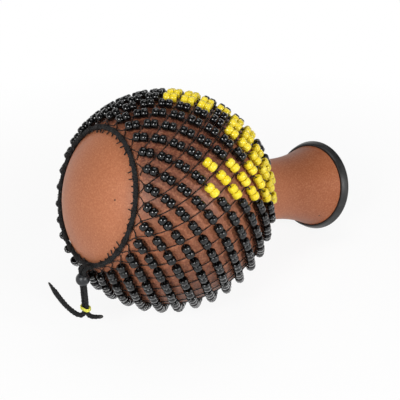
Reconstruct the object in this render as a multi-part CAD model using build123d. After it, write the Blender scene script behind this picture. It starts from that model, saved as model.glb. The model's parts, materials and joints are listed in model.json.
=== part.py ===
from build123d import *
import math
import os

# A shekere: a hollow gourd-shaped shell in a loose net of threaded beads, lying on
# its side on the bulb's net and on the rim of its mouth. Millimetres, +Z up.

# Shell: a round bulb, a concave shoulder and a flared neck. Heights run along the
# gourd's own axis, from the bulb's centre towards the mouth.
BULB_RADIUS = 110.0
WALL = 4.0
SHOULDER_RADIUS = 30.0
WAIST_RADIUS = 37.0
WAIST_HEIGHT = 160.0
MOUTH_RADIUS = 53.0
MOUTH_HEIGHT = 244.0
BULB_BANDS = 11
SHOULDER_BANDS = 3
NECK_BANDS = 3
TURN_FACETS = 36

# Rubber edging on the mouth.
TRIM_THICKNESS = 2.6
TRIM_DEPTH = 6.5
TRIM_FIT = 0.12

# Beads and threads of the net.
BEAD_DIAMETER = 9.0
BEAD_LENGTH = 7.7
BEAD_GAP = 0.2
KNOT_GAP = 2.6
THREAD_DIAMETER = 1.0
NET_CLEARANCE = 0.3
BEAD_CLEARANCE = 0.15
COLUMN_PITCH = 26.0
NET_START = 42.0
NET_END = 134.0
NET_PHASE = 150.0
FOOT_GAP = 0.9

# The net hangs a little off the gourd's axis.
NET_SAG = 6.5
NET_LEAN = 4.0

# Cord rings at the two ends of the net, as angles from the base's pole.
BASE_CORD_DIAMETER = 4.8
BASE_CORD_ANGLE = 37.8
NECK_CORD_DIAMETER = 3.6
NECK_CORD_LEAD = 4.4

# Drawstring ends, their ball stopper and their keeper band.
STRAND_DIAMETER = 4.2
STRAND_GAP = 0.6
STRAND_AZIMUTH = -24.0
STRAND_LIFT = 1.9
STRAND_OUT = 14.9
STRAND_RISE = 3.0
STOPPER_DIAMETER = 14.0
BALL_BANDS = 8
BALL_FACETS = 16
STOPPER_DROP = 8.5
KEEPER_DROP = 46.0
KEEPER_HEIGHT = 3.6
KEEPER_WALL = 1.4
SLIDE_CLEARANCE = 0.3

# Yellow figure in the net: first row, and columns counted from its stripe.
FIGURE_ROW = 4
FIGURE_COLUMN = 4
FIGURE_HALF_COLUMNS = 4
CHEVRON_ROWS = 3
LINE_ROWS = 2


def neck_circle():
    """Centre radius, centre height and radius of the arc that shapes the neck."""
    rise = MOUTH_HEIGHT - WAIST_HEIGHT
    flare = MOUTH_RADIUS - WAIST_RADIUS
    radius = (rise ** 2 + flare ** 2) / (2 * flare)
    return WAIST_RADIUS + radius, WAIST_HEIGHT, radius


def shoulder_centre():
    """Centre of the arc that blends the bulb into the straight waist."""
    centre_r = WAIST_RADIUS + SHOULDER_RADIUS
    return centre_r, math.sqrt((BULB_RADIUS + SHOULDER_RADIUS) ** 2 - centre_r ** 2)


def neck_radius(height, inset):
    """Radius of the neck's wall at a height, set in from its outer face."""
    centre_r, centre_z, radius = neck_circle()
    return centre_r - math.sqrt((radius + inset) ** 2 - (height - centre_z) ** 2)


def shell_outline(inset, top):
    """Points (radius, height) of the shell's wall, set in from its outer face."""
    shoulder_r, shoulder_z = shoulder_centre()
    bulb = BULB_RADIUS - inset
    blend = SHOULDER_RADIUS + inset
    lean = math.atan2(shoulder_z, shoulder_r)
    points = []
    for band in range(BULB_BANDS + 1):
        polar = (math.pi / 2 + lean) * band / BULB_BANDS
        points.append((bulb * math.sin(polar), -bulb * math.cos(polar)))
    for band in range(1, SHOULDER_BANDS + 1):
        angle = lean * (1 - band / SHOULDER_BANDS)
        points.append((shoulder_r - blend * math.cos(angle), shoulder_z - blend * math.sin(angle)))
    lip = MOUTH_HEIGHT - TRIM_DEPTH
    for band in range(NECK_BANDS + 1):
        height = WAIST_HEIGHT + (lip - WAIST_HEIGHT) * band / NECK_BANDS
        points.append((neck_radius(height, inset), height))
    points.append((neck_radius(top, inset), top))
    return points


def turned(points, facets=TURN_FACETS):
    """Solid turned in flat facets from a closed outline of (radius, height) points."""
    sides = []
    for facet in range(facets + 1):
        turn = 2 * math.pi * (facet % facets) / facets
        sides.append([Vector(r * math.cos(turn), r * math.sin(turn), z) for r, z in points])
    faces = []
    for left, right in zip(sides, sides[1:]):
        for corner in range(len(points)):
            ring = [left[corner - 1], left[corner], right[corner], right[corner - 1]]
            if points[corner][0] == 0:
                ring.pop(2)
            if points[corner - 1][0] == 0:
                ring.pop(-1)
            if len(ring) > 2:
                faces.append(make_face(Polyline(ring, close=True)))
    return Solid(Shell(faces))


# Gourd, in its own frame: +Z from the base to the mouth.
outer_wall = shell_outline(0, MOUTH_HEIGHT)
inner_wall = shell_outline(WALL, MOUTH_HEIGHT)
gourd_shell = turned(outer_wall + inner_wall[::-1])

trim_low = MOUTH_HEIGHT - TRIM_DEPTH
trim_seat = MOUTH_HEIGHT + TRIM_FIT
trim_top = trim_seat + TRIM_THICKNESS
trim_out = -TRIM_FIT - TRIM_THICKNESS
trim_in = WALL + TRIM_FIT + TRIM_THICKNESS
mouth_trim = turned([
    (neck_radius(trim_low, trim_out), trim_low),
    (neck_radius(trim_top, trim_out), trim_top),
    (neck_radius(trim_top, trim_in), trim_top),
    (neck_radius(trim_low, trim_in), trim_low),
    (neck_radius(trim_low, WALL + TRIM_FIT), trim_low),
    (neck_radius(trim_seat, WALL + TRIM_FIT), trim_seat),
    (neck_radius(trim_seat, -TRIM_FIT), trim_seat),
    (neck_radius(trim_low, -TRIM_FIT), trim_low),
])

# Net law: every leg of the mesh has the same length, so rows close up at the bulb's
# widest and open out towards its ends. Threads lie on the shell, beads on the threads.
LEG = 2 * BEAD_LENGTH + BEAD_GAP + KNOT_GAP
THREAD_RADIUS = THREAD_DIAMETER / 2
LEG_SAG = LEG ** 2 / (8 * BULB_RADIUS)
THREAD_LEVEL = BULB_RADIUS + NET_CLEARANCE + LEG_SAG + THREAD_RADIUS
BEAD_FLAT = BEAD_DIAMETER * math.sqrt(math.pi) / 2
BEAD_LEVEL = THREAD_LEVEL + THREAD_RADIUS / 2 + BEAD_CLEARANCE + BEAD_FLAT / 2
COLUMNS = round(2 * math.pi * BEAD_LEVEL / COLUMN_PITCH)
STEP = 360 / COLUMNS


def row_rise(polar):
    """Angle from one row of knots to the next, starting at a polar angle."""
    rise = LEG
    for _ in range(4):
        middle = polar + rise / BEAD_LEVEL / 2
        half_pitch = math.pi * BEAD_LEVEL * math.sin(middle) / COLUMNS
        rise = math.sqrt(LEG ** 2 - half_pitch ** 2)
    return rise / BEAD_LEVEL


def knot_rows():
    """Polar angles of the rows of knots, from the base's pole, in radians."""
    rows = [math.radians(NET_START)]
    while rows[-1] + row_rise(rows[-1]) < math.radians(NET_END):
        rows.append(rows[-1] + row_rise(rows[-1]))
    return rows


def on_bulb(level, polar, azimuth):
    """Point at a distance from the bulb's centre, a polar angle and an azimuth in degrees."""
    turn = math.radians(azimuth)
    ring = level * math.sin(polar)
    return Vector(ring * math.cos(turn), ring * math.sin(turn), -level * math.cos(polar))


KNOTS = knot_rows()
ROWS = len(KNOTS) - 1


def around(solid):
    """One copy of a solid for each column of the net."""
    return [Rot(0, 0, STEP * column) * solid for column in range(COLUMNS)]


def bead_pair(row):
    """The two beads on a mesh side, as boxes as large as the round beads."""
    low = on_bulb(BEAD_LEVEL, KNOTS[row], NET_PHASE + STEP * row / 2)
    high = on_bulb(BEAD_LEVEL, KNOTS[row + 1], NET_PHASE + STEP * (row + 1) / 2)
    along = (high - low).normalized()
    outward = (low + high).normalized()
    pair = []
    for side in (-1, 1):
        centre = outward * BEAD_LEVEL + along * side * (BEAD_LENGTH + BEAD_GAP) / 2
        place = Plane(origin=centre, x_dir=along, z_dir=outward)
        pair.append(place.location * Box(BEAD_LENGTH, BEAD_FLAT, BEAD_FLAT))
    return pair


def figure_edge(column):
    """First yellow row of the figure at a distance from its middle, or None outside it."""
    if column > FIGURE_HALF_COLUMNS + 1:
        return None
    if column >= FIGURE_HALF_COLUMNS:
        return 0
    if column <= 1:
        return round(2 * column)
    return 3 + round(2 * abs(column - 2.5))


def is_yellow(row, column):
    """Whether a pair of beads belongs to the yellow stripes and chevrons."""
    place = (FIGURE_COLUMN - column - row / 2 + COLUMNS / 2 + FIGURE_ROW / 2) % COLUMNS - COLUMNS / 2
    distance = abs(place - FIGURE_HALF_COLUMNS)
    edge = figure_edge(distance)
    if edge is None or row < FIGURE_ROW + edge:
        return False
    if distance >= FIGURE_HALF_COLUMNS:
        return True
    depth = row - FIGURE_ROW - edge
    return depth < CHEVRON_ROWS or depth >= CHEVRON_ROWS + LINE_ROWS


def thread(points):
    """Three-sided thread through a list of points on the bulb, with a flat side outwards."""
    start = points[0]
    along = points[1] - start
    section = Plane(origin=start, x_dir=-start, z_dir=along) * RegularPolygon(THREAD_RADIUS, 3)
    return sweep(section, path=Polyline(points), transition=Transition.RIGHT)


def cord_ring(level, polar, diameter, sides):
    """Ring of cord lying on the bulb at a polar angle."""
    outline = []
    for side in range(sides):
        turn = polar + 2 * math.pi * side / sides
        outline.append((level * math.sin(polar) + diameter / 2 * math.sin(turn),
                        -level * math.cos(polar) - diameter / 2 * math.cos(turn)))
    return turned(outline)


# Net, in its own frame: the same as the gourd's before it hangs off the axis.
black_rows = {}
yellow_rows = {}
for row in range(ROWS):
    for bead in bead_pair(row):
        for column, copy in enumerate(around(bead)):
            beads = yellow_rows if is_yellow(row, column) else black_rows
            beads.setdefault(row + 1, []).append(copy)

BASE_LEVEL = BULB_RADIUS + NET_CLEARANCE + BASE_CORD_DIAMETER / 2
base_polar = math.radians(BASE_CORD_ANGLE)
base_cord = cord_ring(BASE_LEVEL, base_polar, BASE_CORD_DIAMETER, 6)

NECK_LEVEL = BULB_RADIUS + NET_CLEARANCE + NECK_CORD_DIAMETER / 2
neck_polar = KNOTS[-1] + math.radians(NECK_CORD_LEAD)
neck_cord = cord_ring(NECK_LEVEL, neck_polar, NECK_CORD_DIAMETER, 4)

# Threads run bare down the mesh's other sides. A lead beside each makes a V at both
# ends of the net, with its two feet on the cord ring.
clear = THREAD_RADIUS + NET_CLEARANCE
base_foot = base_polar + (BASE_CORD_DIAMETER / 2 + clear) / THREAD_LEVEL
neck_foot = neck_polar - (NECK_CORD_DIAMETER / 2 + clear) / THREAD_LEVEL
foot_turn = STEP / 2 - math.degrees(FOOT_GAP / (THREAD_LEVEL * math.sin(base_polar)))
last_turn = NET_PHASE - STEP * ROWS / 2
bare_side = [on_bulb(THREAD_LEVEL, base_foot, NET_PHASE + foot_turn)]
for row in range(ROWS + 1):
    bare_side.append(on_bulb(THREAD_LEVEL, KNOTS[row], NET_PHASE - STEP * row / 2))
bare_side.append(on_bulb(THREAD_LEVEL, neck_foot, last_turn - foot_turn))
net_threads = around(thread(bare_side))


def lead(foot, knot):
    """Short thread from a foot on a cord ring to just before a knot."""
    along = (knot - foot).normalized()
    return thread([foot, knot - along * (THREAD_DIAMETER + NET_CLEARANCE)])


base_lead = lead(on_bulb(THREAD_LEVEL, base_foot, NET_PHASE - foot_turn), bare_side[1])
neck_lead = lead(on_bulb(THREAD_LEVEL, neck_foot, last_turn + foot_turn), bare_side[-2])

# Resting place: the bulb's lowest beads and the trim's edge both meet the floor.
NET_OUTSIDE = BEAD_LEVEL + BEAD_DIAMETER / 2
edge_radius = neck_radius(trim_top, trim_out)
tip = math.asin(NET_OUTSIDE / math.hypot(trim_top, edge_radius)) - math.atan2(edge_radius, trim_top)
LAID = Pos(0, 0, NET_OUTSIDE) * Rot(0, 90 + math.degrees(tip), 0)
NET = LAID * Rot(0, NET_SAG, 0) * Rot(NET_LEAN, 0, 0)

# Drawstring: two strands leave the base cord, turn down through the ball and hang, with
# their tails folded away from each other below the keeper. Its frame is at the base
# cord: x outwards, y along the cord, z up.
tie = (NET * Pos(on_bulb(BASE_LEVEL, base_polar, STRAND_AZIMUTH))).position
DROP = Plane(origin=tie, x_dir=(tie.X, tie.Y, 0), z_dir=(0, 0, 1))
STRAND_OFFSET = (STRAND_DIAMETER + STRAND_GAP) / 2
start_out = BASE_CORD_DIAMETER / 2 + STRAND_LIFT
arch = [(start_out, 0.0), (start_out + STRAND_RISE, STRAND_RISE), (STRAND_OUT - STRAND_RISE, STRAND_RISE),
        (STRAND_OUT, 0.0)]
LONG_TAIL = [(0.0, 0.0, -53.0), (4.4, -5.4, -56.0), (12.4, -15.4, -47.0), (19.4, -24.4, -33.0),
             (25.4, -31.4, -19.0)]
SHORT_TAIL = [(0.0, 0.0, -52.0), (-3.1, 4.2, -55.0), (-8.4, 10.0, -54.6)]


def strand(side, tail):
    """One drawstring end: its arch over the ball, its hanging run and its tail."""
    route = [Vector(out, side * STRAND_OFFSET, up) for out, up in arch]
    route += [Vector(STRAND_OUT + x, side * STRAND_OFFSET + y, z) for x, y, z in tail]
    runs = [b - a for a, b in zip(route, route[1:])]
    radii = []
    for before, after in zip(runs, runs[1:]):
        half_turn = math.radians(before.get_angle(after)) / 2
        radii.append(0.45 * min(before.length, after.length) / math.tan(half_turn))
    path = FilletPolyline(route, radius=radii)
    section = Plane(origin=route[0], z_dir=runs[0]) * RegularPolygon(STRAND_DIAMETER / 2, 6)
    solid = sweep(section, path=path)
    print("strand radii", [round(radius, 1) for radius in radii], "length", round(path.length, 1),
          "volume", round(solid.volume), "of", round(section.area * path.length))
    return solid


drawstring_long = DROP.location * strand(-1, LONG_TAIL)
drawstring_short = DROP.location * strand(1, SHORT_TAIL)


def strand_slot(grow):
    """Eight-sided outline round both strands."""
    radius = STRAND_DIAMETER / 2 + grow
    outline = Rectangle(2 * radius, 2 * (STRAND_OFFSET + radius))
    return chamfer(outline.vertices(), radius * (2 - math.sqrt(2)))


ball_outline = [(0, -STOPPER_DIAMETER / 2)]
for band in range(1, BALL_BANDS):
    polar = math.pi * band / BALL_BANDS
    ball_outline.append((STOPPER_DIAMETER / 2 * math.sin(polar), -STOPPER_DIAMETER / 2 * math.cos(polar)))
ball_outline.append((0, STOPPER_DIAMETER / 2))
ball_bore = extrude(strand_slot(SLIDE_CLEARANCE), amount=STOPPER_DIAMETER, both=True)
stopper = turned(ball_outline, BALL_FACETS) - ball_bore
drawstring_stopper = DROP.location * Pos(STRAND_OUT, 0, -STOPPER_DROP) * stopper

band = strand_slot(SLIDE_CLEARANCE + KEEPER_WALL) - strand_slot(SLIDE_CLEARANCE)
drawstring_keeper = DROP.location * Pos(STRAND_OUT, 0, -KEEPER_DROP) * extrude(band, amount=KEEPER_HEIGHT)

# Named pieces. The origin is under the middle of the gourd and its net.
gourd_pieces = {
    "gourd_shell": [LAID * gourd_shell],
    "mouth_trim": [LAID * mouth_trim],
    "neck_cord": [NET * neck_cord],
    "base_cord": [NET * base_cord],
    "net_threads": [NET * piece for piece in net_threads],
    "base_lead_threads": [NET * piece for piece in around(base_lead)],
    "neck_lead_threads": [NET * piece for piece in around(neck_lead)],
}
for row, beads in black_rows.items():
    gourd_pieces[f"black_beads_row_{row:02d}"] = [NET * bead for bead in beads]
for row, beads in yellow_rows.items():
    gourd_pieces[f"yellow_beads_row_{row:02d}"] = [NET * bead for bead in beads]
cord_pieces = {
    "drawstring_end_long": [drawstring_long],
    "drawstring_end_short": [drawstring_short],
    "drawstring_stopper": [drawstring_stopper],
    "drawstring_keeper": [drawstring_keeper],
}

extent = Compound([piece for pieces in gourd_pieces.values() for piece in pieces]).bounding_box()
middle = extent.center()
SHIFT = Pos(-middle.X, -middle.Y, -extent.min.Z)
print("size", extent.size, "columns", COLUMNS, "rows", ROWS)
print("bulb centre", (SHIFT * LAID).position, "gourd axis", Plane(LAID).z_dir, "net axis", Plane(NET).z_dir)
print("tie", (SHIFT * Pos(tie)).position, "outwards", DROP.x_dir, "along", DROP.y_dir)
print("cord's run at the tie", Plane(NET * Rot(0, 0, STRAND_AZIMUTH)).y_dir)
print("mouth", (SHIFT * LAID * Pos(0, 0, trim_top)).position, "edge radius", edge_radius)

os.makedirs("parts", exist_ok=True)
for name, pieces in {**gourd_pieces, **cord_pieces}.items():
    solids = [solid for piece in pieces for solid in (SHIFT * piece).solids()]
    export_step(Compound(solids), f"parts/{name}.step")
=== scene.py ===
import json
import math
import random

import bmesh
import bpy
from mathutils import Matrix, Vector


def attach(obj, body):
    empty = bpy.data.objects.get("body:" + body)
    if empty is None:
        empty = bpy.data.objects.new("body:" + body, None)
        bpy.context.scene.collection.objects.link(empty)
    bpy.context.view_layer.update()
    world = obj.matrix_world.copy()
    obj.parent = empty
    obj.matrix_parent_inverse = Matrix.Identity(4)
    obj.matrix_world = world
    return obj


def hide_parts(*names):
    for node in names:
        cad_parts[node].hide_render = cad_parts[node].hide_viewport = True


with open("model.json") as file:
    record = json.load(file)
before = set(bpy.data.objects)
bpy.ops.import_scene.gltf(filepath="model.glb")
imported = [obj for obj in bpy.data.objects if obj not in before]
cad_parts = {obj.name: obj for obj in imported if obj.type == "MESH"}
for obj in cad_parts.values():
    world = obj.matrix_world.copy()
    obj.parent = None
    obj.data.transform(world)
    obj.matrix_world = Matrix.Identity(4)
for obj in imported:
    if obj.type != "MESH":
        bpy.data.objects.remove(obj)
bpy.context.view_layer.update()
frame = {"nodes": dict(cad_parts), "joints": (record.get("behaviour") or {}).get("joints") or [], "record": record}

# ---------------------------------------------------------------------------------------
# Gourd shell: one hollow shell, moulded in plastic. A round bulb runs through a concave
# shoulder into a straight waist and a flared neck, with a satin finish like a polished
# gourd's. It is a turned shape, and it lies with its axis dipping towards the mouth.
BULB_RADIUS = 0.110
SHELL_WALL = 0.004
SHOULDER_RADIUS = 0.030
WAIST_RADIUS = 0.037
WAIST_HEIGHT = 0.160
MOUTH_RADIUS = 0.053
MOUTH_HEIGHT = 0.244
BULB_STEPS = 52
SHOULDER_STEPS = 12
NECK_STEPS = 16
TURN_STEPS = 112
WELD = 1e-6
FULL_TURN = 2 * math.pi

SHELL_BROWN = (0.48, 0.168, 0.078, 1)
SHELL_DARK = (0.30, 0.084, 0.034, 1)
SHELL_PALE = (0.66, 0.300, 0.150, 1)
NECK_BROWN = (0.37, 0.110, 0.042, 1)
# Painted shade: the shell's colour where the net's beads shade it.
NET_SHADOW_BROWN = (0.112, 0.039, 0.030, 1)
PIT_BROWN = (0.060, 0.022, 0.012, 1)
NECK_FADE = (0.03, 0.11)
NET_BASE_EDGE = (-0.090, -0.080)
NET_NECK_EDGE = (0.100, 0.070)
SHADE_LEAST = 0.42
SHADE_ABOVE, ABOVE_BAND = 0.58, (0.155, 0.207)
SHADE_BELOW, BELOW_BAND = 0.36, (0.150, 0.070)
PIT_SPACING, PIT_SIZE, PIT_STRENGTH = 38.0, 0.05, 0.75

joints = {joint["name"]: joint for joint in frame["joints"]}
mounts = {mount["name"]: mount for mount in frame["record"]["mounts"]}
bulb_centre = Vector(joints["net_turn"]["pos_m"])
net_axis = Vector(joints["net_turn"]["axis"])
dip = math.asin(-mounts["mouth_face"]["axis"][2])
GOURD = Matrix.Translation(bulb_centre) @ Matrix.Rotation(math.pi / 2 + dip, 4, "Y")


class Tone:
    """A socket of a finish. Arithmetic on it adds Math nodes."""

    def __init__(self, finish, socket):
        self.finish = finish
        self.socket = socket

    def sum_with(self, operation, other, turned=False):
        first, second = (other, self) if turned else (self, other)
        return self.finish.node("ShaderNodeMath", {"operation": operation}, {0: first, 1: second})

    def __add__(self, other):
        return self.sum_with("ADD", other)

    def __sub__(self, other):
        return self.sum_with("SUBTRACT", other)

    def __rsub__(self, other):
        return self.sum_with("SUBTRACT", other, True)

    def __mul__(self, other):
        return self.sum_with("MULTIPLY", other)

    def __lt__(self, other):
        return self.sum_with("LESS_THAN", other)

    def __gt__(self, other):
        return self.sum_with("GREATER_THAN", other)

    __radd__ = __add__
    __rmul__ = __mul__


class Finish:
    """A material with one Principled surface."""

    def __init__(self, name, constants):
        self.material = bpy.data.materials.new(name)
        self.material.use_nodes = True
        self.tree = self.material.node_tree
        self.surface = self.tree.nodes["Principled BSDF"]
        for socket, value in constants.items():
            self.surface.inputs[socket].default_value = value

    def node(self, kind, settings, inputs, output=0):
        made = self.tree.nodes.new(kind)
        for name, value in settings.items():
            setattr(made, name, value)
        for name, value in inputs.items():
            self.feed(made.inputs[name], value)
        return Tone(self, made.outputs[output])

    def feed(self, socket, value):
        if isinstance(value, Tone):
            self.tree.links.new(value.socket, socket)
        else:
            socket.default_value = value

    def place(self):
        return self.node("ShaderNodeTexCoord", {}, {}, "Object")

    def along(self, axis):
        return self.node("ShaderNodeSeparateXYZ", {}, {"Vector": self.place()}, axis)

    def noise(self, scale, detail):
        return self.node("ShaderNodeTexNoise", {},
                         {"Vector": self.place(), "Scale": scale, "Detail": detail})

    def blend(self, share, first, second):
        return self.node("ShaderNodeMix", {"data_type": "RGBA"},
                         {"Factor": share, 6: first, 7: second}, 2)

    def ramp(self, value, low, high):
        return self.node("ShaderNodeMapRange", {}, {"Value": value, 1: low, 2: high})

    def relief(self, height, depth, strength):
        bump = self.node("ShaderNodeBump", {},
                         {"Height": height, "Distance": depth, "Strength": strength})
        self.feed(self.surface.inputs["Normal"], bump)

    def paint(self, colour, roughness):
        self.feed(self.surface.inputs["Base Color"], colour)
        self.feed(self.surface.inputs["Roughness"], roughness)


def show(name, mesh, material, body, nodes=()):
    """Puts a finished mesh in the scene as a piece that rides on a body."""
    mesh.materials.clear()
    mesh.materials.append(material)
    mesh.shade_smooth()
    made = bpy.data.objects.new(name, mesh)
    bpy.context.scene.collection.objects.link(made)
    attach(made, body)
    if nodes:
        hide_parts(*nodes)
    return made


def mesh_of(name, bm, place):
    """Turns a bmesh into a mesh at its place, with its faces pointing outwards."""
    bmesh.ops.transform(bm, matrix=place, verts=bm.verts)
    bmesh.ops.recalc_face_normals(bm, faces=bm.faces)
    mesh = bpy.data.meshes.new(name)
    bm.to_mesh(mesh)
    bm.free()
    return mesh


def verts_of(parts):
    """The vertices among what an operator made."""
    return [part for part in parts if isinstance(part, bmesh.types.BMVert)]


def arc_on(bm, vert, centre, turn, steps):
    """Carries an outline on along an arc in the XZ plane, and gives its last vertex."""
    swept = bmesh.ops.spin(bm, geom=[vert], cent=centre, axis=(0, 1, 0), angle=turn, steps=steps)
    return verts_of(swept["geom_last"])[0]


def turn_round(bm, axis, steps, weld=WELD):
    """Spins an outline all the way round an axis through the origin and welds it shut."""
    bmesh.ops.spin(bm, geom=bm.verts[:] + bm.edges[:], cent=(0, 0, 0), axis=axis,
                   angle=FULL_TURN, steps=steps, use_merge=True)
    bmesh.ops.remove_doubles(bm, verts=bm.verts, dist=weld)


shoulder_r = WAIST_RADIUS + SHOULDER_RADIUS
shoulder_z = math.sqrt((BULB_RADIUS + SHOULDER_RADIUS) ** 2 - shoulder_r ** 2)
lean = math.atan2(shoulder_z, shoulder_r)
neck_rise = MOUTH_HEIGHT - WAIST_HEIGHT
flare = MOUTH_RADIUS - WAIST_RADIUS
neck_arc = (neck_rise ** 2 + flare ** 2) / (2 * flare)
neck_turn = math.asin(neck_rise / neck_arc)

shell = bmesh.new()
end = shell.verts.new((0, 0, -BULB_RADIUS))
end = arc_on(shell, end, (0, 0, 0), -(math.pi / 2 + lean), BULB_STEPS)
end = arc_on(shell, end, (shoulder_r, 0, shoulder_z), lean, SHOULDER_STEPS)
waist = bmesh.ops.extrude_vert_indiv(shell, verts=[end])["verts"][0]
waist.co.z = WAIST_HEIGHT
arc_on(shell, waist, (WAIST_RADIUS + neck_arc, 0, WAIST_HEIGHT), neck_turn, NECK_STEPS)
turn_round(shell, (0, 0, 1), TURN_STEPS)
bmesh.ops.recalc_face_normals(shell, faces=shell.faces)
base_face = min(shell.faces, key=lambda face: face.calc_center_median().z)
if base_face.normal.z > 0:
    bmesh.ops.reverse_faces(shell, faces=shell.faces)
bmesh.ops.transform(shell, matrix=GOURD, verts=shell.verts)
shell_mesh = bpy.data.meshes.new("gourd_shell_skin")
shell.to_mesh(shell_mesh)
shell.free()

gourd_skin = Finish("gourd_satin", {"Specular IOR Level": 0.32})
cloud = gourd_skin.noise(scale=11, detail=3.0)
mottle = gourd_skin.noise(scale=520, detail=4.0)
grain = gourd_skin.noise(scale=1100, detail=2.0)
neck_share = gourd_skin.ramp(gourd_skin.along("X"), *NECK_FADE)
body_tone = gourd_skin.blend(neck_share, SHELL_BROWN, NECK_BROWN)

# Painted shade: the skin under the net is painted darker, as in the beads' shadow, most of all on top and towards
# the floor.
from_centre = gourd_skin.node("ShaderNodeVectorMath", {"operation": "SUBTRACT"},
                              {0: gourd_skin.place(), 1: bulb_centre})
up_net = gourd_skin.node("ShaderNodeVectorMath", {"operation": "DOT_PRODUCT"},
                         {0: from_centre, 1: net_axis}, "Value")
net_shadow_cover = gourd_skin.ramp(up_net, *NET_BASE_EDGE) * gourd_skin.ramp(up_net, *NET_NECK_EDGE)
height = gourd_skin.along("Z")
shade = (SHADE_LEAST + SHADE_ABOVE * gourd_skin.ramp(height, *ABOVE_BAND)
         + SHADE_BELOW * gourd_skin.ramp(height, *BELOW_BAND))
body_tone = gourd_skin.blend(net_shadow_cover * shade, body_tone, NET_SHADOW_BROWN)

# Each pattern shows between two of its own levels, up to a share of its colour.
for pattern, levels, strength, colour in ((cloud, (0.62, 0.36), 0.30, SHELL_DARK),
                                          (mottle, (0.42, 0.72), 0.45, SHELL_PALE),
                                          (grain, (0.46, 0.72), 0.50, SHELL_DARK)):
    body_tone = gourd_skin.blend(gourd_skin.ramp(pattern, *levels) * strength, body_tone, colour)
cells = gourd_skin.node("ShaderNodeTexVoronoi", {},
                        {"Vector": gourd_skin.place(), "Scale": PIT_SPACING}, "Distance")
pits = cells < PIT_SIZE
body_tone = gourd_skin.blend(pits * PIT_STRENGTH, body_tone, PIT_BROWN)
gourd_skin.paint(body_tone, roughness=0.40 + 0.18 * grain)
gourd_skin.relief(grain * 0.5 + mottle * 0.5 - pits * 0.8, depth=0.0003, strength=0.45)

gourd = show("gourd_shell_skin", shell_mesh, gourd_skin.material, "gourd", ["gourd_shell"])
wall = gourd.modifiers.new("wall", "SOLIDIFY")
wall.thickness = SHELL_WALL
wall.offset = -1
wall.use_even_offset = True

# ---------------------------------------------------------------------------------------
# Mouth trim: a black rubber edging, U-shaped in section with rounded corners, cut from a
# moulded strip and pushed over the neck's cut edge. The gourd can stand on its end ring.
TRIM_THICKNESS = 0.0026
TRIM_DEPTH = 0.0065
TRIM_FIT = 0.00012
TRIM_ROUND = 0.0012
TRIM_ROUND_STEPS = 4
RUBBER_BLACK = (0.010, 0.010, 0.010, 1)
RUBBER_POWDERED = (0.030, 0.030, 0.030, 1)


def neck_at(height, inset):
    """Radius of the neck's wall at a height, set in from its outer face."""
    sweep = math.sqrt((neck_arc + inset) ** 2 - (height - WAIST_HEIGHT) ** 2)
    return WAIST_RADIUS + neck_arc - sweep


trim_low = MOUTH_HEIGHT - TRIM_DEPTH
trim_seat = MOUTH_HEIGHT + TRIM_FIT
trim_top = trim_seat + TRIM_THICKNESS
slot_out = -TRIM_FIT
slot_in = SHELL_WALL + TRIM_FIT
trim_out = slot_out - TRIM_THICKNESS
trim_in = slot_in + TRIM_THICKNESS
trim = bmesh.new()
section = []
for height, inset in ((trim_low, trim_out), (trim_top, trim_out), (trim_top, trim_in),
                      (trim_low, trim_in), (trim_low, slot_in), (trim_seat, slot_in),
                      (trim_seat, slot_out), (trim_low, slot_out)):
    section.append(trim.verts.new((neck_at(height, inset), 0, height)))
for first, second in zip(section, section[1:] + section[:1]):
    trim.edges.new((first, second))
bmesh.ops.bevel(trim, geom=section[:4], offset=TRIM_ROUND, offset_type="OFFSET",
                segments=TRIM_ROUND_STEPS, profile=0.5, affect="VERTICES", material=-1)
turn_round(trim, (0, 0, 1), TURN_STEPS)

rubber = Finish("trim_rubber", {"Specular IOR Level": 0.5})
powder = rubber.noise(scale=90, detail=4.0)
powdered = rubber.ramp(powder, low=0.40, high=0.75)
rubber.paint(rubber.blend(powdered, RUBBER_BLACK, RUBBER_POWDERED),
             roughness=0.30 + 0.20 * powder)
rubber.relief(rubber.noise(scale=900, detail=2.0), depth=0.0001, strength=0.4)
show("mouth_trim_rubber", mesh_of("mouth_trim_rubber", trim, GOURD), rubber.material, "gourd",
     ["mouth_trim"])

# ---------------------------------------------------------------------------------------
# Beads: barrel-shaped moulded plastic beads with a wide bore, two on each beaded side of the
# mesh. The two are pushed together in the middle of their mesh side, and each leans a
# little, as beads on a slack thread do.
BEAD_RADIUS = 0.0049
BEAD_HALF = 0.0034
BEAD_BORE = 0.0019
BEAD_LIP = 0.0037
BEAD_SIDES = 10
BEAD_SETTLE = 0.0005
BEAD_HALF_GAP = 0.0001
BEAD_LEAN = 2.2
BEAD_STRAY = 0.00006
BEAD_LEAST_SIZE = 0.965
BEAD_BLACK = (0.0016, 0.0018, 0.0020, 1)
BEAD_BLACK_WORN = (0.0050, 0.0054, 0.0058, 1)
BEAD_YELLOW = (0.86, 0.66, 0.014, 1)
BEAD_YELLOW_PALE = (0.93, 0.76, 0.06, 1)
BLOCK_WELD = 1e-5
IN_PLACE = Matrix.Identity(4)
bead_luck = random.Random(11)

bead = bmesh.new()
outline = []
for along, radius in ((-0.88, BEAD_BORE), (-1.0, BEAD_LIP), (-0.60, BEAD_RADIUS),
                      (0.60, BEAD_RADIUS), (1.0, BEAD_LIP), (0.88, BEAD_BORE)):
    outline.append(bead.verts.new((along * BEAD_HALF, 0, radius)))
for first, second in zip(outline, outline[1:] + outline[:1]):
    bead.edges.new((first, second))
turn_round(bead, (1, 0, 0), BEAD_SIDES)
bead_mesh = mesh_of("bead", bead, IN_PLACE)


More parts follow.
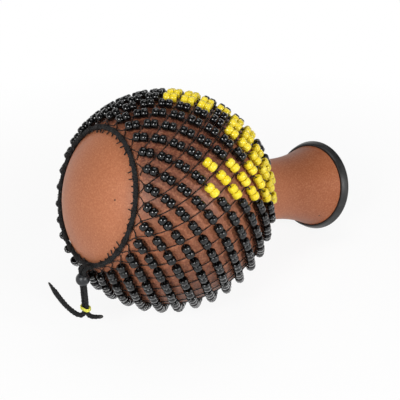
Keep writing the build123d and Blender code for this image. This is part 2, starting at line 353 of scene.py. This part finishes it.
def bead_places(node):
    """Centre of each bead in a row of the net, with its partner's on the same mesh side."""
    row = bmesh.new()
    row.from_mesh(frame["nodes"][node].data)
    bmesh.ops.remove_doubles(row, verts=row.verts, dist=BLOCK_WELD)
    counted = set()
    places = []
    for face in row.faces:
        if face in counted:
            continue
        block = {face}
        queue = [face]
        while queue:
            for edge in queue.pop().edges:
                for near in edge.link_faces:
                    if near not in block:
                        block.add(near)
                        queue.append(near)
        counted |= block
        corners = sorted({vert.co[:] for part in block for vert in part.verts})
        places.append(sum((Vector(corner) for corner in corners), Vector()) / len(corners))
    row.free()
    places.sort(key=lambda place: place[:])
    paired = []
    for middle in places:
        others = [place for place in places if place is not middle]
        paired.append((middle, min(others, key=lambda other: (other - middle).length)))
    return paired


def bead_row(name, node, material):
    """One row of round beads in place of a row of the net."""
    row = bmesh.new()
    tone = row.verts.layers.float.new("tone")
    for middle, partner in bead_places(node):
        before = len(row.verts)
        row.from_mesh(bead_mesh)
        row.verts.ensure_lookup_table()
        fresh = row.verts[before:]
        sway = Matrix.Rotation(math.radians(bead_luck.gauss(0, BEAD_LEAN)), 4, "Y")
        nod = Matrix.Rotation(math.radians(bead_luck.gauss(0, BEAD_LEAN)), 4, "Z")
        roll = Matrix.Rotation(bead_luck.uniform(0, math.pi), 4, "X")
        size = Matrix.Scale(bead_luck.uniform(BEAD_LEAST_SIZE, 1.0), 4)
        along = (middle - partner).normalized()
        aim = along.to_track_quat("X", "Z").to_matrix().to_4x4()
        seat = (middle + partner) / 2 + along * (BEAD_HALF + BEAD_HALF_GAP)
        seat += (bulb_centre - seat).normalized() * BEAD_SETTLE
        spot = seat + Vector([bead_luck.gauss(0, BEAD_STRAY) for _ in range(3)])
        place = Matrix.Translation(spot) @ aim @ sway @ nod @ roll @ size
        bmesh.ops.transform(row, matrix=place, verts=fresh)
        wear = bead_luck.random()
        for vert in fresh:
            vert[tone] = wear
    mesh = bpy.data.meshes.new(name)
    row.to_mesh(mesh)
    row.free()
    show(name, mesh, material, "net", [node])


def bead_finish(name, deep, pale, gloss, coarse):
    """Glossy moulded plastic whose tone differs a little from bead to bead."""
    finish = Finish(name, {"IOR": 1.52, "Specular IOR Level": 0.36, "Coat Weight": 0.15,
                           "Coat Roughness": 0.02})
    tone = finish.node("ShaderNodeAttribute", {"attribute_name": "tone"}, {}, "Fac")
    rub = finish.noise(scale=420, detail=3.0)
    worn = tone * 0.6 + finish.ramp(rub, low=0.5, high=0.8) * 0.4
    rubbed = finish.ramp(rub, low=0.35, high=0.75)
    finish.paint(finish.blend(worn, deep, pale),
                 roughness=gloss + coarse * rubbed + coarse * tone)
    finish.relief(finish.noise(scale=190, detail=1.0), depth=0.00006, strength=0.08)
    return finish.material


black_plastic = bead_finish("bead_black_gloss", BEAD_BLACK, BEAD_BLACK_WORN,
                            gloss=0.03, coarse=0.03)
yellow_plastic = bead_finish("bead_yellow_gloss", BEAD_YELLOW, BEAD_YELLOW_PALE,
                             gloss=0.14, coarse=0.06)
for node in sorted(frame["nodes"]):
    if node.startswith("black_beads"):
        bead_row(node.replace("beads", "round_beads"), node, black_plastic)
    if node.startswith("yellow_beads"):
        bead_row(node.replace("beads", "round_beads"), node, yellow_plastic)

# ---------------------------------------------------------------------------------------
# Net threads: waxed dark thread, knotted into a mesh with sides of one length. One set of
# sides runs bare over the shell, the other runs through the beads, and both meet in knots.
NET_SAG = math.radians(6.5)
NET_LEAN = math.radians(4.0)
NET_START = math.radians(42.0)
NET_END = math.radians(134.0)
NET_PHASE = math.radians(150.0)
NET_COLUMNS = 28
NET_LEG = 0.0182
BEAD_LEVEL = 0.11557
KNOT_LEVEL = 0.1124
BARE_LEVEL = 0.11085
STRUNG_LEVEL = 0.1142
BARE_SHARES = (0.18, 0.5, 0.82)
STRUNG_SHARES = (0.10, 0.5, 0.90)
THREAD_RADIUS = 0.00055
KNOT_RADIUS = 0.00125
KNOT_STRETCH = (1.25, 0.95, 0.8)
KNOT_AIM = 0.01
THREAD_BLACK = (0.005, 0.004, 0.004, 1)
THREAD_BROWN = (0.016, 0.011, 0.009, 1)
NET = GOURD @ Matrix.Rotation(NET_SAG, 4, "Y") @ Matrix.Rotation(NET_LEAN, 4, "X")
column_turn = FULL_TURN / NET_COLUMNS
thread_luck = random.Random(23)


def on_net(level, polar, turn):
    """Point of the net at a distance from the bulb's centre, in the row frame."""
    ring = level * math.sin(polar)
    return NET @ Vector((ring * math.cos(turn), ring * math.sin(turn), -level * math.cos(polar)))


def row_rise(polar):
    """Angle from one row of knots to the next, found in four rounds."""
    rise = NET_LEG
    for _ in range(4):
        middle = polar + rise / BEAD_LEVEL / 2
        half_pitch = math.pi * BEAD_LEVEL * math.sin(middle) / NET_COLUMNS
        rise = math.sqrt(NET_LEG ** 2 - half_pitch ** 2)
    return rise / BEAD_LEVEL


knot_polar = [NET_START]
while knot_polar[-1] + row_rise(knot_polar[-1]) < NET_END:
    knot_polar.append(knot_polar[-1] + row_rise(knot_polar[-1]))
last_row = len(knot_polar) - 1


def tubes(name, lines, radius, corner_steps=0, closed=False, swell=None):
    """Mesh of round threads, each along its own line of points and swelling along it."""
    route = bpy.data.curves.new(name, "CURVE")
    route.dimensions = "3D"
    route.bevel_depth = radius
    route.bevel_resolution = corner_steps
    route.use_fill_caps = True
    for line in lines:
        spline = route.splines.new("POLY")
        spline.points.add(len(line) - 1)
        for number, place in enumerate(line):
            spline.points[number].co = (*place, 1)
            spline.points[number].radius = swell[number] if swell else 1.0
        spline.use_cyclic_u = closed
    return curve_mesh(name, route)


def curve_mesh(name, route):
    """Mesh of a curve, made through a holder that is taken away again."""
    holder = bpy.data.objects.new(name, route)
    bpy.context.scene.collection.objects.link(holder)
    scene_now = bpy.context.evaluated_depsgraph_get()
    mesh = bpy.data.meshes.new_from_object(holder.evaluated_get(scene_now))
    bpy.data.objects.remove(holder)
    return mesh


def thread_finish(name):
    """Waxed twisted thread, darker where the wax is thick."""
    finish = Finish(name, {"Specular IOR Level": 0.4})
    wax = finish.noise(scale=700, detail=2.0)
    thin = finish.ramp(wax, low=0.4, high=0.75)
    finish.paint(finish.blend(thin, THREAD_BLACK, THREAD_BROWN), roughness=0.45 + 0.25 * wax)
    finish.relief(finish.noise(scale=2400, detail=2.0), depth=0.00020, strength=0.6)
    return finish.material


thread_wax = thread_finish("waxed_thread")
bare_lines = []
strung_lines = []
knots = []
for column in range(NET_COLUMNS):
    bare = []
    strung = []
    for row, polar in enumerate(knot_polar):
        back = NET_PHASE + column_turn * (column - row / 2)
        bare.append(on_net(KNOT_LEVEL, polar, back))
        on = NET_PHASE + column_turn * (column + row / 2)
        strung.append(on_net(KNOT_LEVEL, polar, on))
        knots.append((on_net(KNOT_LEVEL, polar, on), on_net(KNOT_LEVEL, polar, on + KNOT_AIM)))
        if row == last_row:
            continue
        for share in BARE_SHARES:
            step = polar + (knot_polar[row + 1] - polar) * share
            bare.append(on_net(BARE_LEVEL, step, back - column_turn / 2 * share))
        for share in STRUNG_SHARES:
            step = polar + (knot_polar[row + 1] - polar) * share
            strung.append(on_net(STRUNG_LEVEL, step, on + column_turn / 2 * share))
    bare_lines.append(bare)
    strung_lines.append(strung)
show("net_threads_bare", tubes("net_threads_bare", bare_lines, THREAD_RADIUS), thread_wax, "net",
     ["net_threads"])
show("net_threads_strung", tubes("net_threads_strung", strung_lines, THREAD_RADIUS), thread_wax,
     "net")

knot = bmesh.new()
bmesh.ops.create_icosphere(knot, subdivisions=1, radius=KNOT_RADIUS)
bmesh.ops.scale(knot, vec=KNOT_STRETCH, verts=knot.verts)
knot_mesh = mesh_of("knot", knot, IN_PLACE)
knot_heap = bmesh.new()
for spot, beside in knots:
    before = len(knot_heap.verts)
    knot_heap.from_mesh(knot_mesh)
    knot_heap.verts.ensure_lookup_table()
    aim = (beside - spot).to_track_quat("X", "Z").to_matrix().to_4x4()
    twist = Matrix.Rotation(thread_luck.uniform(0, math.pi), 4, "X")
    bmesh.ops.transform(knot_heap, matrix=Matrix.Translation(spot) @ aim @ twist,
                        verts=knot_heap.verts[before:])
show("net_knots", mesh_of("net_knots", knot_heap, IN_PLACE), thread_wax, "net")

# ---------------------------------------------------------------------------------------
# Cord rings: braided black cord that draws the net in, a thick ring round the bare base of
# the bulb and a thinner one under the shoulder. Each is eight yarns woven over a core.
BASE_CORD_RADIUS = 0.0024
BASE_POLAR = math.radians(37.8)
BASE_BRAID_TURNS = 30
NECK_CORD_RADIUS = 0.0018
NECK_LEAD = math.radians(4.4)
NECK_BRAID_TURNS = 44
BRAID_STEPS = 12
CORD_REST = 0.1103
YARNS_PER_WAY = 4
YARN_REACH = 0.76
YARN_WEAVE = 0.09
YARN_SHARE = 0.25
CORE_SHARE = 0.74
CORD_BLACK = (0.005, 0.005, 0.0055, 1)
CORD_GREY = (0.021, 0.021, 0.021, 1)


def runs_along(points):
    """Length of a line from its start to each of its points."""
    runs = [0.0]
    for here, there in zip(points, points[1:]):
        runs.append(runs[-1] + (there - here).length)
    return runs


def braid(centres, sides, ups, radius, pitch, swell=None):
    """Lines of eight yarns that weave over and under each other along a cord."""
    runs = runs_along(centres)
    lines = []
    for way in (-1, 1):
        for yarn in range(YARNS_PER_WAY):
            line = []
            for number, centre in enumerate(centres):
                turn = FULL_TURN * runs[number] / pitch
                size = radius * swell[number] if swell else radius
                reach = size * (YARN_REACH + YARN_WEAVE * way * math.cos(YARNS_PER_WAY * turn))
                angle = way * turn + FULL_TURN / YARNS_PER_WAY * yarn
                line.append(centre + sides[number] * reach * math.cos(angle)
                            + ups[number] * reach * math.sin(angle))
            lines.append(line)
    return lines


def ring_braid(level, polar, radius, turns):
    """Yarns and core of a closed ring of cord that lies on the bulb."""
    count = turns * BRAID_STEPS
    centres = [on_net(level, polar, FULL_TURN * step / count) for step in range(count)]
    hub = on_net(level * math.cos(polar), 0, 0)
    up = (NET.to_3x3() @ Vector((0, 0, -1))).normalized()
    sides = [(centre - hub).normalized() for centre in centres]
    chord = sum((there - here).length for here, there in zip(centres, centres[1:] + centres[:1]))
    return braid(centres, sides, [up] * count, radius, chord / turns), centres


def joined(name, parts):
    """One mesh of several."""
    whole = bmesh.new()
    for part in parts:
        whole.from_mesh(part)
        bpy.data.meshes.remove(part)
    return mesh_of(name, whole, IN_PLACE)


def cord_mesh(name, yarns, core, radius, closed, swell=None):
    """One mesh of a cord's woven yarns and the core that they lie on."""
    return joined(name, [tubes(name, yarns, radius * YARN_SHARE, closed=closed, swell=swell),
                         tubes(name, [core], radius * CORE_SHARE, corner_steps=2,
                               closed=closed, swell=swell)])


def cord_finish(name):
    """Braided synthetic yarn with a dull sheen and some lint."""
    finish = Finish(name, {"Specular IOR Level": 0.3, "Sheen Weight": 0.06,
                           "Sheen Roughness": 0.5})
    lint = finish.noise(scale=950, detail=3.0)
    dusty = finish.ramp(lint, low=0.48, high=0.78)
    finish.paint(finish.blend(dusty, CORD_BLACK, CORD_GREY), roughness=0.62 + 0.25 * lint)
    finish.relief(finish.noise(scale=3200, detail=2.0), depth=0.00025, strength=0.7)
    return finish.material


cord_yarn = cord_finish("braided_cord")
base_level = CORD_REST + BASE_CORD_RADIUS
base_yarns, base_core = ring_braid(base_level, BASE_POLAR, BASE_CORD_RADIUS, BASE_BRAID_TURNS)
base_cord = cord_mesh("base_cord_braid", base_yarns, base_core, BASE_CORD_RADIUS, closed=True)
show("base_cord_braid", base_cord, cord_yarn, "net", ["base_cord"])
neck_level = CORD_REST + NECK_CORD_RADIUS
neck_polar = knot_polar[-1] + NECK_LEAD
neck_yarns, neck_core = ring_braid(neck_level, neck_polar, NECK_CORD_RADIUS, NECK_BRAID_TURNS)
neck_cord = cord_mesh("neck_cord_braid", neck_yarns, neck_core, NECK_CORD_RADIUS, closed=True)
show("neck_cord_braid", neck_cord, cord_yarn, "net", ["neck_cord"])

# ---------------------------------------------------------------------------------------
# Lead threads: two threads spread from each end knot of the net to its cord ring and are
# hitched round it. On the base ring their cut ends stick out over the bare shell, except
# where the drawstring leaves the ring.
LEAD_RADIUS = THREAD_RADIUS * 0.9
HITCH_SPREAD = 0.40
HITCH_TURNS = (-0.012, 0.012)
HITCH_STEPS = 10
HITCH_LIFT = THREAD_RADIUS * 0.6
HITCH_SLANT = 0.006
TIE_TURN = math.radians(-24.0)
TIE_ROOM = 0.11
CUT_RADIUS = THREAD_RADIUS * 1.1
CUT_CHANCE = 0.9
CUT_SHIFT = 0.1
CUT_LENGTHS = (0.0015, 0.0052)
CUT_DRIFT = 0.03
CUT_LEVELS = (0.1116, 0.1112)
CUT_BEND = 0.5
CUT_BEND_DRIFT = 0.3
CUT_ROOT = 0.8


def by_tie(turn):
    """Whether an azimuth on the net is where the drawstring leaves the base ring."""
    return abs(math.remainder(turn - TIE_TURN, FULL_TURN)) < TIE_ROOM


def hitch(ring_level, ring_polar, ring_radius, turn):
    """Closed line of thread round a ring."""
    reach = ring_radius + HITCH_LIFT
    loop = []
    for step in range(HITCH_STEPS):
        angle = FULL_TURN * step / HITCH_STEPS
        loop.append(on_net(ring_level + reach * math.sin(angle),
                           ring_polar + reach * math.cos(angle) / ring_level,
                           turn + HITCH_SLANT * math.sin(angle)))
    return loop


def leads(ring_level, ring_polar, ring_radius, knot_row, way):
    """Threads from the end knots to a ring, with hitches round the ring at each foot."""
    lines = []
    hitches = []
    near = ring_polar + way * (ring_radius + 2 * THREAD_RADIUS) / ring_level
    middle = (near + knot_polar[knot_row]) / 2
    for column in range(NET_COLUMNS):
        knot_turn = NET_PHASE + column_turn * (column + knot_row / 2)
        knot_spot = on_net(KNOT_LEVEL, knot_polar[knot_row], knot_turn)
        for side in (-1, 1):
            foot_turn = knot_turn + side * column_turn * HITCH_SPREAD
            lines.append([knot_spot, on_net(BARE_LEVEL, middle, (knot_turn + foot_turn) / 2),
                          on_net(ring_level, near, foot_turn)])
            if way > 0 and by_tie(foot_turn):
                continue
            for turn in HITCH_TURNS:
                hitches.append(hitch(ring_level, ring_polar, ring_radius, foot_turn + turn))
    return lines, hitches


base_lines, base_hitches = leads(base_level, BASE_POLAR, BASE_CORD_RADIUS, 0, 1)
cut_start = BASE_POLAR - BASE_CORD_RADIUS * CUT_ROOT / base_level
cut_ends = []
for foot in range(2 * NET_COLUMNS):
    if thread_luck.random() < CUT_CHANCE:
        turn = NET_PHASE + column_turn * (foot / 2 + thread_luck.uniform(-CUT_SHIFT, CUT_SHIFT))
        length = thread_luck.uniform(*CUT_LENGTHS) / base_level
        drift = thread_luck.uniform(-CUT_DRIFT, CUT_DRIFT)
        if by_tie(turn):
            continue
        cut_ends.append([on_net(base_level, cut_start, turn),
                         on_net(CUT_LEVELS[0], cut_start - length * CUT_BEND,
                                turn + drift * CUT_BEND_DRIFT),
                         on_net(CUT_LEVELS[1], cut_start - length, turn + drift)])
base_lead_mesh = joined("base_leads", [tubes("base_leads", base_lines, LEAD_RADIUS),
                                       tubes("base_leads", base_hitches, LEAD_RADIUS,
                                             closed=True),
                                       tubes("base_leads", cut_ends, CUT_RADIUS)])
show("base_leads", base_lead_mesh, thread_wax, "net", ["base_lead_threads"])
neck_lines, neck_hitches = leads(neck_level, neck_polar, NECK_CORD_RADIUS, last_row, -1)
neck_lead_mesh = joined("neck_leads", [tubes("neck_leads", neck_lines, LEAD_RADIUS),
                                       tubes("neck_leads", neck_hitches, LEAD_RADIUS,
                                             closed=True)])
show("neck_leads", neck_lead_mesh, thread_wax, "net", ["neck_lead_threads"])

# ---------------------------------------------------------------------------------------
# Drawstring ends: the two loose ends of the base cord. They arch out over the ring, hang
# through the ball and turn away from each other below the keeper, with melted tips.
STRAND_RADIUS = 0.0021
STRAND_OUT = 0.0149
STRAND_HALF_GAP = 0.0024
STRAND_PITCH = 0.0145
SLIDE_END = 0.047
TAIL_SWELL = 0.26
SWELL_RUN = 0.006
TIP_RUN = 0.012
LONG_TAPER = 0.60
SHORT_TAPER = 0.25
POINT_SPACING = 0.0007
ROUTE_STEPS = 24
TIP_FIT = 0.95
TIP_STRETCH = (1, 1, 1.3)
MELT_BLACK = (0.008, 0.008, 0.008, 1)
MELT_GREY = (0.030, 0.028, 0.026, 1)
ARCH = [(0.0043, 0.0), (0.0073, 0.003), (0.0119, 0.003), (STRAND_OUT, 0.0)]
LONG_DROPS = (-0.0042, -0.0454, -0.053)
LONG_TAIL = [(0.0186, -0.0069, -0.056), (0.0250, -0.0151, -0.046), (0.0306, -0.0216, -0.031),
             (0.0354, -0.0271, -0.0145)]
SHORT_DROPS = (-0.0042, -0.046, -0.052)
SHORT_TAIL = [(0.0118, 0.0066, -0.055), (0.0065, 0.0124, -0.0546)]

tie = Vector(joints["drawstring_swing"]["pos_m"])
outward = (tie - bulb_centre) * Vector((1, 1, 0))
outward.normalize()
drop_axes = Matrix((outward, Vector((0, 0, 1)).cross(outward), (0, 0, 1))).transposed()
DROP = Matrix.Translation(tie) @ drop_axes.to_4x4()


def end_route(side, drops, tail):
    """Points of an end's line: over the ring, straight down beside the other end, its tail."""
    upper = ARCH + [(STRAND_OUT, drop) for drop in drops]
    return [(out, side * STRAND_HALF_GAP, height) for out, height in upper] + tail


def hang(name, route):
    """Points along a hanging end's smooth line, read from its spline."""
    line = bpy.data.curves.new(name, "CURVE")
    line.dimensions = "3D"
    line.resolution_u = ROUTE_STEPS
    spline = line.splines.new("NURBS")
    spline.points.add(len(route) - 1)
    for point, place in zip(spline.points, route):
        point.co = (*(DROP @ Vector(place)), 1)
    spline.order_u = 3
    spline.use_endpoint_u = True
    mesh = curve_mesh(name, line)
    points = [vert.co.copy() for vert in mesh.vertices]
    bpy.data.meshes.remove(mesh)
    kept = [points[0]]
    for point in points[1:-1]:
        if (point - kept[-1]).length > POINT_SPACING:
            kept.append(point)
    return kept + [points[-1]]


def strand_frames(points):
    """Two directions across a line at each of its points, carried along without twist."""
    side = outward.cross(points[1] - points[0]).normalized()
    sides = []
    ups = []
    for number in range(len(points)):
        before = points[max(number - 1, 0)]
        after = points[min(number + 1, len(points) - 1)]
        run = (after - before).normalized()
        side = (side - run * side.dot(run)).normalized()
        sides.append(side)
        ups.append(run.cross(side))
    return sides, ups


def fullness(points, taper):
    """How full a soft end is at each point: thin where pieces slide on it and at its tip."""
    runs = runs_along(points)
    freed = next(run for run, point in zip(runs, points) if tie.z - point.z > SLIDE_END)
    swell = []
    for run in runs:
        loose = min(1.0, max(0.0, (run - freed) / SWELL_RUN))
        fine = max(0.0, 1 - (runs[-1] - run) / TIP_RUN)
        swell.append((1 + TAIL_SWELL * loose) * (1 - taper * fine))
    return swell


def drawstring(name, node, route, taper):
    """One braided end, drawn out thin over its last stretch, and its melted tip."""
    points = hang(name, route)
    sides, ups = strand_frames(points)
    swell = fullness(points, taper)
    yarns = braid(points, sides, ups, STRAND_RADIUS, STRAND_PITCH, swell)
    mesh = cord_mesh(name, yarns, points, STRAND_RADIUS, closed=False, swell=swell)
    made = show(name, mesh, cord_yarn, "drawstring", [node])
    tip = bmesh.new()
    bmesh.ops.create_uvsphere(tip, u_segments=14, v_segments=9,
                              radius=STRAND_RADIUS * swell[-1] * TIP_FIT)
    bmesh.ops.scale(tip, vec=TIP_STRETCH, verts=tip.verts)
    aim = (points[-1] - points[-3]).to_track_quat("Z", "Y").to_matrix().to_4x4()
    tip_mesh = mesh_of(name + "_tip", tip, Matrix.Translation(points[-1]) @ aim)
    sealed = show(name + "_tip", tip_mesh, melted, "drawstring")
    return made, sealed, points


melt = Finish("melted_cord_end", {"Specular IOR Level": 0.5})
bubbles = melt.noise(scale=800, detail=2.0)
melt.paint(melt.blend(bubbles, MELT_BLACK, MELT_GREY), roughness=0.22 + 0.2 * bubbles)
melt.relief(bubbles, depth=0.0003, strength=0.5)
melted = melt.material
long_route = end_route(-1, LONG_DROPS, LONG_TAIL)
long_end, long_tip, long_points = drawstring("drawstring_long", "drawstring_end_long",
                                             long_route, LONG_TAPER)
short_route = end_route(1, SHORT_DROPS, SHORT_TAIL)
short_end, short_tip, short_points = drawstring("drawstring_short", "drawstring_end_short",
                                                short_route, SHORT_TAPER)

# ---------------------------------------------------------------------------------------
# Drawstring stopper: a smooth black plastic ball with a flat bore for both ends. It is
# pushed up them against the ring and grips them by friction.
STOPPER_RADIUS = 0.0070
STOPPER_DROP = 0.0085
SLIDE_CLEARANCE = 0.0003
SLOT_SIDES = 28
BORE_LENGTH = 0.02
BORE_ROUND = 0.0004
BALL_BLACK = (0.008, 0.009, 0.011, 1)
BALL_HAZE = (0.024, 0.027, 0.031, 1)


def slot_loop(bm, radius, height):
    """Loop of vertices round both ends, at a height."""
    loop = bmesh.ops.create_circle(bm, segments=SLOT_SIDES, radius=radius)["verts"]
    for vert in loop:
        vert.co.y += STRAND_HALF_GAP if vert.co.y > 0 else -STRAND_HALF_GAP
        vert.co.z = height
    return loop


ball_place = DROP @ Matrix.Translation((STRAND_OUT, 0, -STOPPER_DROP))
ball = bmesh.new()
bmesh.ops.create_uvsphere(ball, u_segments=36, v_segments=24, radius=STOPPER_RADIUS)
ball_mesh = mesh_of("drawstring_ball", ball, ball_place)
bore = bmesh.new()
loop = slot_loop(bore, STRAND_RADIUS + SLIDE_CLEARANCE, -BORE_LENGTH / 2)
cap = bmesh.ops.contextual_create(bore, geom=loop)["faces"]
pushed = bmesh.ops.extrude_face_region(bore, geom=cap)["geom"]
bmesh.ops.translate(bore, vec=(0, 0, BORE_LENGTH), verts=verts_of(pushed))
bore_cutter = bpy.data.objects.new("drawstring_bore", mesh_of("drawstring_bore", bore, ball_place))
bpy.context.scene.collection.objects.link(bore_cutter)
ball_blank = bpy.data.objects.new("drawstring_blank", ball_mesh)
bpy.context.scene.collection.objects.link(ball_blank)
cut = ball_blank.modifiers.new("bore", "BOOLEAN")
cut.object = bore_cutter
cut.operation = "DIFFERENCE"
edge = ball_blank.modifiers.new("edge", "BEVEL")
edge.width = BORE_ROUND
edge.segments = 2
edge.angle_limit = math.radians(40)
cut_blank = ball_blank.evaluated_get(bpy.context.evaluated_depsgraph_get())
bored = bpy.data.meshes.new_from_object(cut_blank)
bpy.data.objects.remove(ball_blank)
bpy.data.objects.remove(bore_cutter)

ball_gloss = Finish("ball_gloss", {"Specular IOR Level": 0.5})
haze = ball_gloss.noise(scale=210, detail=3.0)
hazy = ball_gloss.ramp(haze, low=0.4, high=0.8)
ball_gloss.paint(ball_gloss.blend(hazy, BALL_BLACK, BALL_HAZE), roughness=0.30 + 0.16 * haze)
ball_gloss.relief(ball_gloss.noise(scale=500, detail=2.0), depth=0.00008, strength=0.4)
stopper = show("drawstring_ball", bored, ball_gloss.material, "stopper",
               ["drawstring_stopper"])

# ---------------------------------------------------------------------------------------
# Drawstring keeper: a small yellow-green rubber band, stretched round both ends below the
# ball so that they stay together.
KEEPER_DROP = 0.046
KEEPER_HEIGHT = 0.0036
KEEPER_WALL = 0.0014
KEEPER_ROUND = 0.0005
RIM_ANGLE = 0.9
KEEPER_GREEN = (0.62, 0.60, 0.045, 1)
KEEPER_YELLOW = (0.80, 0.78, 0.12, 1)

band = bmesh.new()
slot_loop(band, STRAND_RADIUS + SLIDE_CLEARANCE, 0)
lifted = bmesh.ops.extrude_edge_only(band, edges=band.edges[:])["geom"]
bmesh.ops.translate(band, vec=(0, 0, KEEPER_HEIGHT), verts=verts_of(lifted))
bmesh.ops.recalc_face_normals(band, faces=band.faces)
if band.faces[0].normal.dot(band.faces[0].calc_center_median()) < 0:
    bmesh.ops.reverse_faces(band, faces=band.faces)
bmesh.ops.solidify(band, geom=band.faces[:], thickness=-KEEPER_WALL)
bmesh.ops.recalc_face_normals(band, faces=band.faces)
rims = [part for part in band.edges if part.calc_face_angle(0) > RIM_ANGLE]
bmesh.ops.bevel(band, geom=rims, offset=KEEPER_ROUND, offset_type="OFFSET", segments=3,
                profile=0.5, affect="EDGES", material=-1)
band_mesh = mesh_of("drawstring_band", band,
                    DROP @ Matrix.Translation((STRAND_OUT, 0, -KEEPER_DROP)))
keeper_finish = Finish("keeper_rubber", {"Specular IOR Level": 0.4})
stretch = keeper_finish.noise(scale=600, detail=2.0)
keeper_finish.paint(keeper_finish.blend(stretch, KEEPER_GREEN, KEEPER_YELLOW),
                    roughness=0.38 + 0.2 * stretch)
keeper_finish.relief(stretch, depth=0.0002, strength=0.5)
keeper = show("drawstring_band", band_mesh, keeper_finish.material, "keeper",
              ["drawstring_keeper"])

# ---------------------------------------------------------------------------------------
# Studio: a wide white floor that curves up all round into its backdrop, two softboxes beside
# the camera and a weak one overhead. The camera looks down on the bare base and along the net.
FLOOR_RADIUS = 6.0
COVE_RADIUS = 6.0
COVE_STEPS = 16
FLOOR_STEPS = 64
FLOOR_WELD = 1e-5
PAPER_WHITE = (0.95, 0.95, 0.95, 1)
LAMP_WHITE = (1, 1, 1, 1)
GLOW_NEAR, GLOW_MORE, GLOW_REACH = 0.90, 0.10, (0.25, 0.70)
SKY_STRENGTH = 0.10

floor = bmesh.new()
hub = floor.verts.new((0, 0, 0))
brim = floor.verts.new((FLOOR_RADIUS, 0, 0))
floor.edges.new((hub, brim))
arc_on(floor, brim, (FLOOR_RADIUS, 0, COVE_RADIUS), -math.pi / 2, COVE_STEPS)
turn_round(floor, (0, 0, 1), FLOOR_STEPS, FLOOR_WELD)
floor_mesh = mesh_of("floor", floor, IN_PLACE)
floor_mesh.shade_smooth()
paper = Finish("floor_paper", {"Base Color": PAPER_WHITE, "Roughness": 0.9,
                               "Specular IOR Level": 0.1})
seen = (paper.node("ShaderNodeLightPath", {}, {}, "Is Camera Ray")
        + paper.node("ShaderNodeLightPath", {}, {}, "Is Glossy Ray")
        + paper.node("ShaderNodeLightPath", {}, {}, "Is Transmission Ray"))
reach = paper.node("ShaderNodeVectorMath", {"operation": "LENGTH"}, {0: paper.place()}, "Value")
share = GLOW_NEAR + GLOW_MORE * paper.ramp(reach, *GLOW_REACH)
glow = paper.node("ShaderNodeEmission", {}, {"Color": LAMP_WHITE, "Strength": 1.0})
lit = Tone(paper, paper.surface.outputs[0])
mixed = paper.node("ShaderNodeMixShader", {}, {0: seen * share, 1: lit, 2: glow})
paper.feed(paper.tree.nodes["Material Output"].inputs["Surface"], mixed)
floor_mesh.materials.append(paper.material)
ground = bpy.data.objects.new("floor", floor_mesh)
bpy.context.scene.collection.objects.link(ground)

world = bpy.data.worlds.new("studio")
world.use_nodes = True
sky = world.node_tree.nodes["Background"]
sky.inputs["Color"].default_value = LAMP_WHITE
sky.inputs["Strength"].default_value = SKY_STRENGTH
bpy.context.scene.world = world

VIEW_AZIMUTH = math.radians(-39.5)
VIEW_ELEVATION = math.radians(30.25)
VIEW_DISTANCE = 0.800
VIEW_RIGHT = 0.0370
VIEW_UP = 0.0004
SENSOR_WIDTH = 36
FOCAL_PIXELS = 743
FRAME_PIXELS = 400

right = Vector((math.cos(VIEW_AZIMUTH), math.sin(VIEW_AZIMUTH), 0))
away_flat = Vector((-math.sin(VIEW_AZIMUTH), math.cos(VIEW_AZIMUTH), 0))
up = Vector((0, 0, math.cos(VIEW_ELEVATION))) + away_flat * math.sin(VIEW_ELEVATION)
away = away_flat * math.cos(VIEW_ELEVATION) - Vector((0, 0, math.sin(VIEW_ELEVATION)))
camera_data = bpy.data.cameras.new("camera")
camera_data.lens = FOCAL_PIXELS / FRAME_PIXELS * SENSOR_WIDTH
camera_data.sensor_width = SENSOR_WIDTH
camera_data.clip_end = 100
camera = bpy.data.objects.new("camera", camera_data)
spot = bulb_centre + right * VIEW_RIGHT + up * VIEW_UP - away * VIEW_DISTANCE
facing = Matrix((right, up, -away)).transposed().to_4x4()
camera.matrix_world = Matrix.Translation(spot) @ facing
bpy.context.scene.collection.objects.link(camera)
bpy.context.scene.camera = camera

LAMP_AIM = Vector((0, 0, 0.1))
KEY_SHIFT = Vector((-0.45, 0.15, 0.12))
FILL_RIGHT = 0.75
FILL_SHIFT = Vector((0, 0, 0.02))
TOP_PLACE = Vector((0.10, 0.10, 1.20))
SIDE_BOX = 0.28
TOP_BOX = 0.60
KEY_POWER = 6.6
FILL_POWER = 6.0
TOP_POWER = 3.4


def softbox(name, place, size, power):
    """A square lamp aimed at the object."""
    lamp = bpy.data.lights.new(name, "AREA")
    lamp.size = size
    lamp.energy = power
    made = bpy.data.objects.new(name, lamp)
    made.location = place
    aim = LAMP_AIM - place
    made.rotation_euler = aim.to_track_quat("-Z", "Y").to_euler()
    bpy.context.scene.collection.objects.link(made)


softbox("key", spot + KEY_SHIFT, SIDE_BOX, KEY_POWER)
softbox("fill", spot + right * FILL_RIGHT + FILL_SHIFT, SIDE_BOX, FILL_POWER)
softbox("top", TOP_PLACE, TOP_BOX, TOP_POWER)

bpy.context.scene.view_settings.view_transform = "Standard"
